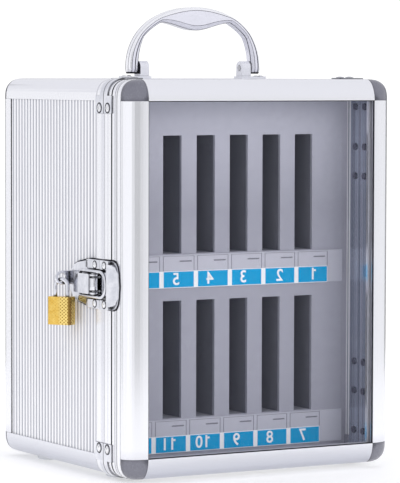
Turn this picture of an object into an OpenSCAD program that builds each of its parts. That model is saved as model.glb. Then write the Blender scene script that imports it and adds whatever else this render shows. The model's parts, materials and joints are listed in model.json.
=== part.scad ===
/* [Case] */
// Width of the case
case_w = 220; // [190:1:300]
// Depth of the case, door included
case_d = 200; // [170:1:260]
// Height of the case without its feet and handle
case_h = 280; // [276:1:330]
// Distance of the seam between door and body behind the front
seam_y = 34.5; // [32:0.5:36]
// Gap between the door and the body at the seam
seam_gap = 0.3; // [0.2:0.1:0.6]

/* [Edge extrusions] */
// Reach of the rounded edges along the width
edge_x = 16.4; // [14:0.2:19]
// Reach of the rounded edges along the depth
edge_y = 11; // [10:0.2:12]
// Reach of the rounded edges along the height
edge_z = 15.2; // [14:0.2:18]
// Squareness of the corners seen from the front, where 2 is a true ellipse
corner_n = 2.8; // [2:0.1:3.2]
// Reach of the rear posts and rails over the side and top panels
rear_leg = 18; // [16:0.5:22]
// Thickness of the lip outside a panel
lip_t = 1; // [0.8:0.1:1.4]
// Thickness of the flange inside a panel
flange_t = 1.4; // [1:0.1:2]
// Depth of the panel channels
channel_d = 3.5; // [2.5:0.1:3.8]
// Radius of the screw port in the front edge extrusions
port_r = 2.2; // [1.5:0.1:2.5]

/* [Rims at the seam] */
// Wall of the body rim and the door rim
rim_t = 6.4; // [5.6:0.1:7]
// Depth of the body rim behind the seam
body_rim_d = 12.5; // [11.5:0.5:16]
// Distance of the dark seal in the door rim behind the front
groove_y = 22.9; // [22.6:0.1:23.2]
// Width of the dark seal
groove_w = 1.8; // [1:0.1:2]
// Depth of the dark seal
groove_d = 1.2; // [0.6:0.1:2]
// Distance of the first shadow line behind the front
line_a_y = 15.8; // [13:0.1:17]
// Distance of the second shadow line behind the front
line_b_y = 18.6; // [18:0.1:20]
// Width and depth of the shadow lines
line_w = 0.5; // [0.3:0.1:0.8]

/* [Panels] */
// Thickness of the side, top, bottom and rear panels
panel_t = 3; // [2:0.2:3.6]
// Pitch of the ribs
rib_pitch = 4.66; // [3:0.01:8]
// Width of the groove between two ribs
rib_groove_w = 2.4; // [0.6:0.1:2.6]
// Depth of the groove between two ribs
rib_groove_d = 0.7; // [0.2:0.1:0.9]

/* [Window] */
// Thickness of the clear pane
pane_t = 3; // [2:0.2:4]
// Distance of the pane behind the front
pane_y = 3.6; // [3:0.1:4.2]
// Depth of the pane's seat in the frame
pane_seat = 3.4; // [2:0.1:4]
// Thickness of the seal behind the pane
seal_t = 1.2; // [0.8:0.1:1.6]
// Reach of the seal past the frame into the window
seal_lip = 0.4; // [0.2:0.1:2]

/* [Corner clips and rivets] */
// Thickness of the corner clips
clip_t = 0.9; // [0.6:0.1:1.2]
// Length of a clip's leg from the outer corner
clip_leg = 24; // [23:0.5:27]
// Length of a clip's bare corner before its lobe starts
clip_lobe_start = 11.6; // [10:0.2:13]
// Width of a clip's lobe beside the seam
clip_lobe_w = 11.4; // [10:0.2:12]
// Width of a clip's bridge round the corner
clip_bridge_w = 5; // [4:0.5:10]
// Distance of a clip's rivet from the outer corner
clip_rivet = 20.2; // [20:0.1:20.6]
// Distance of the rivets beside the seam from the seam
rivet_off = 6.1; // [5.6:0.1:6.6]
// Radius of the rivet heads
rivet_head_r = 3.3; // [2.6:0.1:3.5]
// Height of the rivet heads
rivet_head_h = 1.2; // [0.8:0.1:1.3]
// Radius of the rivet shanks
rivet_r = 1.6; // [1.2:0.1:1.8]
// Radius of the rivet tails inside the case
rivet_tail_r = 2.4; // [2.2:0.1:2.8]
// Height of the rivet tails inside the case
rivet_tail_h = 0.9; // [0.6:0.1:1.2]

/* [Hinges] */
// Distance of the hinge centres from the top and the bottom of the case
hinge_inset = 60.5; // [50:0.5:75]
// Height of a hinge
hinge_h = 36; // [33:1:45]
// Distance of the rivets from a hinge's centre
hinge_rivet = 10.8; // [9:0.1:12]
// Thickness of a hinge leaf
leaf_t = 1.2; // [1:0.1:1.4]
// Reach of a hinge leaf from the seam
leaf_w = 11.5; // [11:0.1:12]
// Outer radius of the hinge barrel
barrel_r = 2.4; // [2.2:0.1:2.5]
// Distance of the hinge axis outside the case's side
hinge_out = 2.8; // [2.7:0.1:3.2]
// Radius of the hinge pin
hinge_pin_r = 1.2; // [0.9:0.1:1.4]
// Gap between two knuckles
knuckle_gap = 0.3; // [0.2:0.1:0.6]

/* [Handle] */
// Distance of the handle's plane behind the front
handle_y = 101; // [80:1:110]
// Outer width of the handle
handle_w = 111.5; // [96:0.5:130]
// Height of the handle's top above the case
handle_top = 52.5; // [45:0.5:60]
// Height of the handle pivots above the case
handle_pivot_z = 7.9; // [7.6:0.1:9]
// Depth of the handle at its legs
handle_leg_y = 8.4; // [7:0.2:9]
// Depth of the handle at its grip
handle_grip_y = 13; // [11:0.5:14]
// Thickness of the handle's legs
handle_leg_t = 8; // [6:0.2:9]
// Thickness of the arch beside the grip
handle_neck_t = 4.6; // [4:0.2:8]
// Thickness of the grip at its middle
handle_grip_t = 17; // [13:0.2:19]
// Radius of the handle pivot pins
handle_pin_r = 2; // [1.5:0.1:2.4]
// Gap between a handle leg and its bracket
handle_gap = 0.6; // [0.4:0.1:1]
// Width of a bracket's post along the handle
bracket_w = 7.6; // [6:0.2:9]
// Depth of a bracket's post
bracket_d = 9; // [8:0.5:12]
// Height of a bracket above the case
bracket_h = 13; // [12.5:0.1:14]
// Thickness of a bracket's foot plate
bracket_base_t = 1.8; // [1.4:0.1:2]
// Reach of a bracket's foot plate past the handle leg
bracket_base_over = 3.5; // [3:0.5:5]

/* [Feet] */
// Height of the feet
foot_h = 3.5; // [3:0.1:6]
// Radius of the feet
foot_r = 11.5; // [9:0.5:14]
// Distance of the feet's centres from the case's sides
foot_inset = 27; // [26:0.5:35]
// Distance of the front feet's centres behind the front
foot_front = 58; // [58:0.5:64]
// Distance of the rear feet's centres from the case's back
foot_rear = 34; // [34:0.5:45]
// Radius of the foot screws' heads
foot_screw_r = 3; // [2.5:0.1:3.5]

/* [Insert] */
// Distance of the insert's face behind the front
insert_y = 55; // [50:0.5:60]
// Gap between the insert and the case's walls at the sides
insert_side_gap = 8; // [8:0.5:10]
// Thickness of the insert's face board
board_t = 3; // [2:0.2:4]
// Width of a phone slot
slot_w = 15; // [11:0.5:18]
// Pitch of the phone slots
slot_pitch = 27.8; // [26:0.1:28.4]
// Place of the first slot's centre right of the middle
slot_first_x = 67.6; // [66:0.1:70]
// Height of the lower row's shelf above the case's underside
lower_shelf_z = 35.5; // [34.5:0.5:37]
// Height of the board from the lower slots to the upper shelf
row_rise = 34; // [32:0.5:38]
// Height left above the upper slots
top_room = 40.5; // [38:0.5:50]
// Number of slots in a row
slots = 6; // [4:1:6]

/* [Labels] */
// Height of a label strip
strip_h = 23.6; // [22:0.1:24]
// Thickness of a label strip
strip_t = 1.2; // [0.8:0.1:2]
// Width of a number label
label_w = 24.8; // [20:0.2:26]
// Height of a number label
label_h = 11.2; // [9:0.2:12]
// Thickness of a number label
label_t = 0.4; // [0.3:0.1:0.8]
// Pitch of the number labels
label_pitch = 28.5; // [26:0.1:28.6]
// Place of the first label in the upper row right of the middle
upper_label_x = 75; // [70:0.1:80]
// Place of the first label in the lower row right of the middle
lower_label_x = 68.7; // [66:0.1:80]

/* [Latch] */
// Height of the latch's centre above the case's underside
latch_z = 136; // [110:1:170]
// Thickness of the low middle of the latch plate and the catch plate
latch_t = 1.3; // [1:0.1:1.4]
// Height of the raised shoulders above and below the lever
shoulder_h = 4; // [3:0.1:4.4]
// Height of the catch plate's ridge
ridge_h = 5.6; // [5.2:0.1:6]
// Half width of the channel between the shoulders
channel_half = 10.8; // [10.6:0.1:11]
// Half height of the latch plates
latch_half = 17.2; // [16.8:0.1:18]
// Distance of the latch plate's rear end behind the front
latch_end = 84.5; // [83:0.5:90]
// Distance of the latch plates' rivets above and below the centre
latch_rivet = 13.6; // [13.5:0.1:13.7]
// Radius of the latch plates' rivet heads
latch_head_r = 2.6; // [2.2:0.1:2.7]
// Distance of the lever pivot behind the front
lever_y = 41.5; // [41.2:0.1:42]
// Height of the lever pivot off the case's side
lever_out = 4.8; // [4.8:0.1:5]
// Radius of the lever's nose round its pivot
lever_nose_r = 3.2; // [3.1:0.05:3.2]
// Width of the lever
lever_w = 14; // [13.6:0.1:14.4]
// Wall of the lever
lever_t = 1.2; // [1:0.1:1.3]
// Distance of the lever's free end behind the front
lever_end = 70.5; // [68:0.5:73]
// Radius of the lever pin
lever_pin_r = 1; // [0.8:0.1:1.1]
// Radius of the bail's wire
bail_r = 1.15; // [1:0.05:1.2]
// Distance of the bail's pivot behind the front
bail_y = 61.5; // [60:0.5:63]
// Distance of the bail's far end behind the front
bail_end = 23.6; // [23.6:0.1:24]
// Half width of the bail between wire centres
bail_half = 9; // [8.8:0.1:9.2]

/* [Hasp and padlock] */
// Distance of the hasp behind the front
hasp_y = 78.5; // [78:0.5:82]
// Height of the hasp's hole above the latch's centre
hasp_rise = 2.5; // [0:0.5:4]
// Height of the hasp's hole off the case's side
hasp_out = 11; // [11:0.5:13]
// Radius of the hasp's hole
hasp_hole_r = 3.1; // [3.1:0.1:3.4]
// Thickness of the hasp
hasp_t = 1.6; // [1.2:0.1:1.8]
// Radius of the shackle
shackle_r = 1.5; // [1.2:0.1:1.5]
// Distance between the shackle's legs
shackle_span = 9.8; // [9:0.1:11]
// Length of the shackle from the top of its bow to the lock's body
shackle_rise = 12.4; // [11.4:0.2:18]
// Width of the padlock's body
lock_w = 18; // [17:0.5:18.5]
// Thickness of the padlock's body
lock_t = 9; // [8:0.5:9.5]
// Height of the padlock's body
lock_h = 20; // [19:0.5:26]
// Turn of the hanging padlock away from the case's side
lock_yaw = 35; // [30:1:36]
// Radius of the key plug
plug_r = 3.2; // [2.8:0.1:3.4]

/* [Hidden] */
$fn = 48;

far = 400;
arc_steps = 12;
quarter_turn = 90;
fit_gap = 0.05;
move_gap = 0.3;
leg_t = lip_t + panel_t + flange_t;
body_rim_end = seam_y + body_rim_d;
body_front = seam_y + seam_gap / 2;
door_back = seam_y - seam_gap / 2;
body_rivet_y = seam_y + rivet_off;
door_rivet_y = seam_y - rivet_off;
latch_rivet_off = 6.9;
latch_rivet_y = seam_y + latch_rivet_off;
catch_rivet_y = seam_y - latch_rivet_off;
insert_back = case_d - leg_t;
insert_half = case_w / 2 - insert_side_gap;
insert_low = leg_t;
insert_high = case_h - leg_t - 2;
slot_h = (case_h - lower_shelf_z - row_rise - top_room) / 2;
upper_shelf_z = lower_shelf_z + slot_h + row_rise;
handle_half = handle_w / 2;
bracket_rivet = 3.2;
bracket_head_r = 2.3;
bracket_head_h = 0.8;
bracket_x = handle_half - handle_leg_t - handle_gap - bracket_w;
handle_rise = handle_top - handle_pivot_z;
handle_soft = 3;
handle_steps = 60;
lever_h = lever_out + lever_nose_r;
lever_low = latch_t + 0.7;
lever_ramp = 10;
lever_tip = 1;
ear_t = 1.2;
ear_r = 2;
ear_x = lever_w / 2 - lever_t - 0.2 - ear_t / 2;
ridge_y = bail_end - bail_r - 0.6;
catch_end = edge_y + 0.4;
shoulder_flat = 17.4;
shoulder_slope = 8;
grip_u = 0.56;
shoulder_u = 0.84;
bow_r = shackle_span / 2;
bow_drop = 1.1;
heel_depth = 10;
toe_depth = 4;
plug_len = 7;

// Distance behind the front turned into the frame's Y
function back(y) = y - case_d / 2;

// Height above the case's underside turned into the frame's Z
function up(z) = foot_h + z;

// Sine or cosine v bent so that it draws an arc of squareness n
function bend(v, n) = sign(v) * pow(abs(v), 2 / n);

// Points of one corner with centre c, reaches a and b and first angle s
function corner(c, a, b, s) = [for (i = [0:arc_steps])
    let (t = s + quarter_turn * i / arc_steps)
    [c[0] + a * bend(cos(t), corner_n), c[1] + b * bend(sin(t), corner_n)]];

// Front outline of the case grown by g, its lower edge at z = 0
module outline(g) {
    hx = case_w / 2 - edge_x;
    polygon(concat(
        corner([hx, case_h - edge_z], edge_x + g, edge_z + g, 0),
        corner([-hx, case_h - edge_z], edge_x + g, edge_z + g, 90),
        corner([-hx, edge_z], edge_x + g, edge_z + g, 180),
        corner([hx, edge_z], edge_x + g, edge_z + g, 270)));
}

// Ring round the case from y0 to y1 behind the front, between two growths of the outline
module ring(y0, y1, outer, inner) {
    translate([0, back(y1), foot_h]) rotate([90, 0, 0]) linear_extrude(y1 - y0) difference() {
        outline(outer);
        outline(inner);
    }
}

// The mitred sector of a ring that belongs to one side of the case
module sector(side) {
    hx = case_w / 2 + 5;
    m = edge_x + edge_z;
    low = [[-hx, -5], [hx, -5], [hx - m, m - 5], [-hx + m, m - 5]];
    left = [[-hx, -5], [-hx + m, m - 5], [-hx + m, case_h + 5 - m], [-hx, case_h + 5]];
    translate([0, far / 2, foot_h]) rotate([90, 0, 0]) linear_extrude(far) {
        if (side == "bottom") polygon(low);
        if (side == "top") translate([0, case_h]) mirror([0, 1]) polygon(low);
        if (side == "left") polygon(left);
        if (side == "right") mirror([1, 0]) polygon(left);
    }
}

// Area inside an outer corner at the origin, with reaches a and b and squareness n
module corner_area(a, b, n) {
    polygon(concat([for (i = [0:arc_steps])
        let (t = quarter_turn * i / arc_steps) [a - a * bend(cos(t), n), b - b * bend(sin(t), n)]],
        [[far, 0], [far, far], [0, far]]));
}

// Section of a body edge: two legs of lengths la and lb with a panel channel in each
module edge_section(a, b, la, lb, n) {
    difference() {
        intersection() {
            corner_area(a, b, n);
            union() {
                square([la, leg_t]);
                square([leg_t, lb]);
            }
        }
        translate([la - channel_d, lip_t]) square([channel_d + 1, panel_t]);
        translate([lip_t, lb - channel_d]) square([panel_t, channel_d + 1]);
    }
}

// Places a shape whose z points out of the left (-1) or right (1) side
module on_side(s, y, z) {
    translate([s * case_w / 2, back(y), up(z)]) rotate([0, s * 90, 0]) children();
}

// Places a shape whose z points out of the top (1) or the underside (-1)
module on_top(s, x, y) {
    translate([x, back(y), s > 0 ? up(case_h) : foot_h]) rotate([s > 0 ? 0 : 180, 0, 0]) children();
}

// Places its child at every clip rivet of one rim
module at_clip_rivets(y) {
    for (s = [-1, 1]) {
        for (z = [clip_rivet, case_h - clip_rivet]) on_side(s, y, z) children();
        for (x = [-1, 1]) on_top(s, x * (case_w / 2 - clip_rivet), y) children();
    }
}

// Places its child at every hinge rivet of one rim
module at_hinge_rivets(y) {
    for (z = [hinge_inset, case_h - hinge_inset], d = [-1, 1]) {
        on_side(1, y, z + d * hinge_rivet) children();
    }
}

// Places its child at the two rivets of a latch plate
module at_latch_rivets(y) {
    for (d = [-1, 1]) on_side(-1, y, latch_z + d * latch_rivet) children();
}

// Places its child at the four rivets of the handle brackets
module at_bracket_rivets() {
    for (s = [-1, 1], d = [-1, 1]) {
        on_top(1, s * (handle_half + 0.3), handle_y + d * bracket_rivet) children();
    }
}

// Rivet with its head on a plate of thickness seat and its tail behind a wall
module rivet(seat, wall, head_r, head_h) {
    ball = (head_r * head_r + head_h * head_h) / (2 * head_h);
    color("gainsboro") {
        intersection() {
            translate([0, 0, seat]) cylinder(r = head_r + 0.2, h = head_h + 0.2);
            translate([0, 0, seat + head_h - ball]) sphere(r = ball);
        }
        translate([0, 0, -wall]) cylinder(r = rivet_r, h = seat + wall + head_h / 3);
        translate([0, 0, -wall - rivet_tail_h]) cylinder(r = rivet_tail_r, h = rivet_tail_h);
    }
}

module rivet_bore() {
    translate([0, 0, -rim_t - 2]) cylinder(r = rivet_r, h = rim_t + 8);
}

module body_bores() {
    at_clip_rivets(body_rivet_y) rivet_bore();
    at_hinge_rivets(body_rivet_y) rivet_bore();
    at_latch_rivets(latch_rivet_y) rivet_bore();
}

module door_bores() {
    at_clip_rivets(door_rivet_y) rivet_bore();
    at_hinge_rivets(door_rivet_y) rivet_bore();
    at_latch_rivets(catch_rivet_y) rivet_bore();
}

// Ribbed panel lying flat, its ribs along y, its outer face up
module ribbed_panel(w, l) {
    n = floor((w - 2 * channel_d - rib_groove_w) / rib_pitch);
    first = w / 2 - n * rib_pitch / 2;
    crest = concat([[0, 0], [0, panel_t]],
        [for (i = [0:n], k = [-1, 0, 1]) [first + i * rib_pitch + k * rib_groove_w / 2,
            panel_t - (k == 0 ? rib_groove_d : 0)]],
        [[w, panel_t], [w, 0]]);
    translate([0, l, 0]) rotate([90, 0, 0]) linear_extrude(l) polygon(crest);
}

module left_panel() {
    mirror([1, 0, 0]) right_panel();
}

module right_panel() {
    y0 = body_rim_end;
    y1 = case_d - rear_leg + channel_d;
    z0 = edge_z - channel_d;
    color("white") translate([case_w / 2 - lip_t - panel_t, back(y0), up(case_h - z0)])
        rotate([0, 90, 0]) rotate([0, 0, 90]) mirror([0, 1, 0])
            ribbed_panel(y1 - y0, case_h - 2 * z0);
}

module top_panel() {
    x0 = case_w / 2 - edge_x + channel_d;
    y1 = case_d - rear_leg + channel_d;
    color("white") difference() {
        translate([-x0, back(body_rim_end), up(case_h - lip_t - panel_t)])
            ribbed_panel(2 * x0, y1 - body_rim_end);
        at_bracket_rivets() rivet_bore();
    }
}

module bottom_panel() {
    x0 = case_w / 2 - edge_x + channel_d;
    y1 = case_d - rear_leg + channel_d;
    color("white") difference() {
        translate([-x0, back(body_rim_end), up(lip_t)]) cube([2 * x0, y1 - body_rim_end, panel_t]);
        at_feet() cylinder(r = foot_screw_r / 2, h = foot_h + leg_t);
    }
}

module rear_panel() {
    x0 = case_w / 2 - edge_x + channel_d;
    z0 = edge_z - channel_d;
    color("white") translate([-x0, back(case_d - lip_t - panel_t), up(case_h - z0)])
        rotate([-90, 0, 0]) ribbed_panel(2 * x0, case_h - 2 * z0);
}

module rear_right_post() {
    color("whitesmoke") translate([case_w / 2, back(case_d), up(edge_z)]) rotate([0, 0, 180])
        linear_extrude(case_h - 2 * edge_z) edge_section(edge_x, edge_y, edge_x, rear_leg, 2);
}

module rear_left_post() {
    mirror([1, 0, 0]) rear_right_post();
}

module rear_top_rail() {
    color("whitesmoke") translate([-case_w / 2 + edge_x, back(case_d), up(case_h)])
        rotate([90, 0, 90]) rotate([0, 0, 180])
            linear_extrude(case_w - 2 * edge_x) edge_section(edge_y, edge_z, rear_leg, edge_z, 2);
}

module rear_bottom_rail() {
    translate([0, 0, 2 * foot_h + case_h]) mirror([0, 0, 1]) rear_top_rail();
}

module top_right_rail() {
    color("whitesmoke") translate([case_w / 2, back(case_d - edge_y), up(case_h)])
        rotate([90, 0, 0]) linear_extrude(case_d - edge_y - body_rim_end)
            rotate([0, 0, 180]) edge_section(edge_x, edge_z, edge_x, edge_z, corner_n);
}

module top_left_rail() {
    mirror([1, 0, 0]) top_right_rail();
}

module bottom_right_rail() {
    translate([0, 0, 2 * foot_h + case_h]) mirror([0, 0, 1]) top_right_rail();
}

module bottom_left_rail() {
    mirror([1, 0, 0]) bottom_right_rail();
}

// Rounded plastic cap that fills the front right top corner
module corner_cap() {
    n = arc_steps;
    rows = [for (j = [0:n - 1]) let (t = quarter_turn * j / n)
        [for (p = corner([0, 0], edge_x * cos(t), edge_z * cos(t), 0)) [p[0], -edge_y * sin(t), p[1]]]];
    tip = 1;
    function at(j, i) = 2 + j * (n + 1) + i;
    color("dimgray") translate([case_w / 2 - edge_x, back(edge_y), up(case_h - edge_z)])
        polyhedron(concat([[0, 0, 0], [0, -edge_y, 0]], [for (row = rows, p = row) p]), concat(
            [for (j = [0:n - 2], i = [0:n - 1]) [at(j, i), at(j + 1, i), at(j + 1, i + 1), at(j, i + 1)]],
            [for (i = [0:n - 1]) [at(n - 1, i), tip, at(n - 1, i + 1)]],
            [concat([0], [for (i = [0:n]) at(0, i)]),
                concat([0, tip], [for (j = [n - 1:-1:0]) at(j, 0)]),
                concat([0], [for (j = [0:n - 1]) at(j, n)], [tip])]));
}

// The corner cap repeated at the four corners of the front
module front_caps() {
    for (a = [0, 1], b = [0, 1]) {
        translate([0, 0, b * (2 * foot_h + case_h)]) mirror([0, 0, b]) mirror([a, 0, 0]) corner_cap();
    }
}

module rear_corner_caps() {
    color("dimgray") difference() {
        mirror([0, 1, 0]) front_caps();
        translate([-case_w / 2 + edge_x - channel_d - fit_gap, back(case_d - lip_t - panel_t) - fit_gap,
            up(edge_z - channel_d) - fit_gap])
            cube([case_w - 2 * (edge_x - channel_d) + 2 * fit_gap, panel_t + 2 * fit_gap,
                case_h - 2 * (edge_z - channel_d) + 2 * fit_gap]);
    }
}

module door_corner_caps() {
    color("dimgray") difference() {
        front_caps();
        pane_space(fit_gap);
    }
}

module body_rim(side) {
    color("whitesmoke") difference() {
        intersection() {
            ring(body_front, body_rim_end, 0, -rim_t);
            sector(side);
        }
        body_bores();
    }
}

module body_rim_left() {
    body_rim("left");
}

module body_rim_right() {
    body_rim("right");
}

module body_rim_top() {
    body_rim("top");
}

module body_rim_bottom() {
    body_rim("bottom");
}

module door_rim(side) {
    color("whitesmoke") difference() {
        intersection() {
            ring(edge_y, door_back, 0, -rim_t);
            sector(side);
        }
        ring(groove_y, groove_y + groove_w, 1, -groove_d);
        ring(line_a_y, line_a_y + line_w, 1, -line_w);
        ring(line_b_y, line_b_y + line_w, 1, -line_w);
        door_bores();
    }
}

module door_rim_left() {
    door_rim("left");
}

module door_rim_right() {
    door_rim("right");
}

module door_rim_top() {
    door_rim("top");
}

module door_rim_bottom() {
    door_rim("bottom");
}

// Dark seal in the groove round the door rim
module door_seal() {
    color("dimgray") ring(groove_y, groove_y + groove_w, -fit_gap, -groove_d);
}

// Four clips beside the seam, y0 the edge at the seam, d 1 to the rear and -1 to the front
module corner_clips(y0, d) {
    bridge = d > 0 ? [y0, y0 + clip_bridge_w] : [y0 - clip_bridge_w, y0];
    lobe = d > 0 ? [y0, y0 + clip_lobe_w] : [y0 - clip_lobe_w, y0];
    color("silver") intersection() {
        union() {
            ring(bridge[0], bridge[1], clip_t, 0);
            difference() {
                ring(lobe[0], lobe[1], clip_t, 0);
                corner_blocks(clip_lobe_start);
            }
        }
        corner_blocks(clip_leg);
    }
}

// Square blocks of reach r at the four edges that run to the rear
module corner_blocks(r) {
    for (x = [-1, 1], z = [0, 1]) {
        translate([x * (case_w / 2 - r / 2 + 5), 0, up(z * case_h) + (z ? 5 - r / 2 : r / 2 - 5)])
            cube([r + 10, far, r + 10], center = true);
    }
}

module body_corner_clips() {
    difference() {
        corner_clips(body_front + 0.2, 1);
        body_bores();
    }
}

module door_corner_clips() {
    difference() {
        corner_clips(door_back - 0.2, -1);
        door_bores();
    }
}

module body_rivets() {
    at_clip_rivets(body_rivet_y) rivet(clip_t, rim_t, rivet_head_r, rivet_head_h);
    at_hinge_rivets(body_rivet_y) rivet(leaf_t, rim_t, rivet_head_r, rivet_head_h - 0.3);
    at_latch_rivets(latch_rivet_y) rivet(shoulder_h, rim_t, latch_head_r, rivet_head_h);
    at_bracket_rivets() translate([0, 0, -lip_t])
        rivet(bracket_base_t + lip_t, panel_t, bracket_head_r, bracket_head_h);
}

module door_rivets() {
    at_clip_rivets(door_rivet_y) rivet(clip_t, rim_t, rivet_head_r, rivet_head_h);
    at_hinge_rivets(door_rivet_y) rivet(leaf_t, rim_t, rivet_head_r, rivet_head_h - 0.3);
    at_latch_rivets(catch_rivet_y) rivet(shoulder_h, rim_t, latch_head_r, rivet_head_h);
}

// Places its child on the floor under each foot
module at_feet() {
    for (x = [-1, 1], y = [foot_front, case_d - foot_rear]) {
        translate([x * (case_w / 2 - foot_inset), back(y), 0]) children();
    }
}

module feet() {
    color("whitesmoke") at_feet() difference() {
        union() {
            cylinder(r = foot_r, h = foot_h);
            cylinder(r = foot_r / 2, h = foot_h + lip_t);
        }
        translate([0, 0, -1]) cylinder(r = foot_screw_r, h = 2.2);
        cylinder(r = foot_screw_r / 2, h = foot_h + leg_t);
    }
}

module foot_screws() {
    color("gray") at_feet() {
        translate([0, 0, 0.3]) cylinder(r = foot_screw_r, h = 0.9);
        translate([0, 0, 1]) cylinder(r = foot_screw_r / 2, h = foot_h + lip_t + panel_t - 1);
        translate([0, 0, foot_h + lip_t + panel_t]) cylinder(r = foot_screw_r, h = 1.4, $fn = 6);
    }
}

// Front face of the door frame's vertical edge, with the pane's seat and a screw port
module frame_section(a, b) {
    difference() {
        intersection() {
            corner_area(a, b, 2);
            square([a, b]);
        }
        translate([a * 0.42, b * 0.6]) circle(r = port_r);
    }
}

module pane_space(grow) {
    x = case_w / 2 - edge_x + pane_seat + grow;
    z = case_h - 2 * (edge_z - pane_seat) + 2 * grow;
    translate([-x, back(pane_y), up(edge_z - pane_seat) - grow]) cube([2 * x, pane_t + seal_t, z]);
}

module door_right_post() {
    color("whitesmoke") difference() {
        translate([case_w / 2, back(0), up(edge_z)]) mirror([1, 0, 0])
            linear_extrude(case_h - 2 * edge_z) frame_section(edge_x, edge_y);
        pane_space(fit_gap);
    }
}

module door_left_post() {
    mirror([1, 0, 0]) door_right_post();
}

module door_top_rail() {
    color("whitesmoke") difference() {
        translate([-case_w / 2 + edge_x, back(0), up(case_h)]) rotate([90, 0, 90]) mirror([0, 1, 0])
            linear_extrude(case_w - 2 * edge_x) frame_section(edge_y, edge_z);
        pane_space(fit_gap);
    }
}

module door_bottom_rail() {
    translate([0, 0, 2 * foot_h + case_h]) mirror([0, 0, 1]) door_top_rail();
}

module window_pane() {
    x = case_w / 2 - edge_x + pane_seat;
    color("azure", 0.3) translate([-x, back(pane_y), up(edge_z - pane_seat)])
        cube([2 * x, pane_t, case_h - 2 * (edge_z - pane_seat)]);
}

module window_seal() {
    x = case_w / 2 - edge_x + pane_seat;
    x_in = case_w / 2 - edge_x - seal_lip;
    z = case_h - 2 * (edge_z - pane_seat);
    z_in = case_h - 2 * (edge_z + seal_lip);
    color("dimgray") difference() {
        translate([-x, back(pane_y + pane_t), up(edge_z - pane_seat)]) cube([2 * x, seal_t, z]);
        translate([-x_in, back(pane_y + pane_t) - 1, up(edge_z + seal_lip)])
            cube([2 * x_in, seal_t + 2, z_in]);
    }
}

// Barrel knuckles of one hinge, every second one from the first
module knuckles(first) {
    n = 5;
    step = hinge_h / n;
    for (i = [first:2:n - 1]) {
        translate([0, 0, -hinge_h / 2 + i * step + knuckle_gap / 2])
            cylinder(r = barrel_r, h = step - knuckle_gap);
    }
}

// One hinge leaf at the hinge axis, d 1 to the rear for the body and -1 for the door
module hinge_leaf(d) {
    n = 5;
    step = hinge_h / n;
    first = d > 0 ? 0 : 1;
    reach = leaf_w - barrel_r - 0.4;
    difference() {
        union() {
            knuckles(first);
            translate([-hinge_out, d > 0 ? barrel_r + 0.4 : -leaf_w, -hinge_h / 2])
                cube([leaf_t, reach, hinge_h]);
            for (i = [first:2:n - 1]) {
                translate([-hinge_out + 0.45, d > 0 ? 0 : -barrel_r - 0.5,
                    -hinge_h / 2 + i * step + knuckle_gap / 2])
                    cube([leaf_t - 0.45, barrel_r + 0.5, step - knuckle_gap]);
            }
        }
        cylinder(r = hinge_pin_r + (d > 0 ? 0 : fit_gap), h = hinge_h + 2, center = true);
    }
}

// Places its child at each hinge axis, at the hinge's middle
module at_hinges() {
    for (z = [hinge_inset, case_h - hinge_inset]) {
        translate([case_w / 2 + hinge_out, back(seam_y), up(z)]) children();
    }
}

module body_hinge_leaves() {
    color("silver") difference() {
        at_hinges() hinge_leaf(1);
        body_bores();
    }
}

module door_hinge_leaves() {
    color("silver") difference() {
        at_hinges() hinge_leaf(-1);
        door_bores();
    }
}

module hinge_pins() {
    color("gray") at_hinges() {
        cylinder(r = hinge_pin_r, h = hinge_h, center = true);
        for (s = [-1, 1]) {
            translate([0, 0, s * (hinge_h / 2 + 0.4)]) cylinder(r = barrel_r - 0.5, h = 0.8, center = true);
        }
    }
}

// Outer line of the handle seen from the front, t running from 0 to 180 degrees
function handle_outer(t) = [handle_half * cos(t),
    handle_pivot_z + handle_rise * pow(sin(t), 0.93)];

// Thickness of the handle below its outer line at the same angle
function handle_thick(t) = let (u = abs(cos(t)))
    u > shoulder_u ? handle_neck_t + (handle_leg_t - handle_neck_t) * (u - shoulder_u) / (1 - shoulder_u)
    : u > grip_u ? handle_neck_t
    : handle_neck_t + (handle_grip_t - handle_neck_t) * cos(quarter_turn * u / grip_u);

// Inner line of the handle: the outer line moved in along the arch's normal
function handle_inner(t) = let (n = [cos(t) * handle_rise, sin(t) * handle_half],
    k = handle_thick(t) / norm(n)) handle_outer(t) - [n[0] * k, n[1] * k];

module handle_profile() {
    turn = 2 * quarter_turn / handle_steps;
    polygon(concat([for (i = [0:handle_steps]) handle_outer(i * turn)],
        [for (i = [handle_steps:-1:0]) handle_inner(i * turn)]));
    for (s = [-1, 1]) {
        translate([s > 0 ? handle_half - handle_leg_t : -handle_half, handle_pivot_z - handle_leg_y / 2])
            square([handle_leg_t, handle_leg_y]);
    }
}

// Side view of the handle: deeper at the grip than at the legs
module handle_side() {
    a = handle_leg_y / 2;
    b = handle_grip_y / 2;
    c = b - handle_soft;
    low = handle_pivot_z;
    leg_end = low + 0.31 * handle_rise;
    grip_end = low + 0.64 * handle_rise;
    high = handle_top + 1;
    soft = handle_top - handle_soft;
    translate([0, low]) circle(r = a);
    polygon([[-a, low], [a, low], [a, leg_end], [b, grip_end], [b, soft], [c, high],
        [-c, high], [-b, soft], [-b, grip_end], [-a, leg_end]]);
}

module handle() {
    color("silver") translate([0, back(handle_y), up(case_h)]) difference() {
        intersection() {
            translate([0, handle_grip_y / 2, 0]) rotate([90, 0, 0])
                linear_extrude(handle_grip_y) handle_profile();
            translate([-handle_half - 1, 0, 0]) rotate([90, 0, 90])
                linear_extrude(handle_w + 2) handle_side();
        }
        translate([0, 0, handle_pivot_z]) rotate([0, 90, 0])
            cylinder(r = handle_pin_r + fit_gap, h = handle_w + 4, center = true);
    }
}

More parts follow.
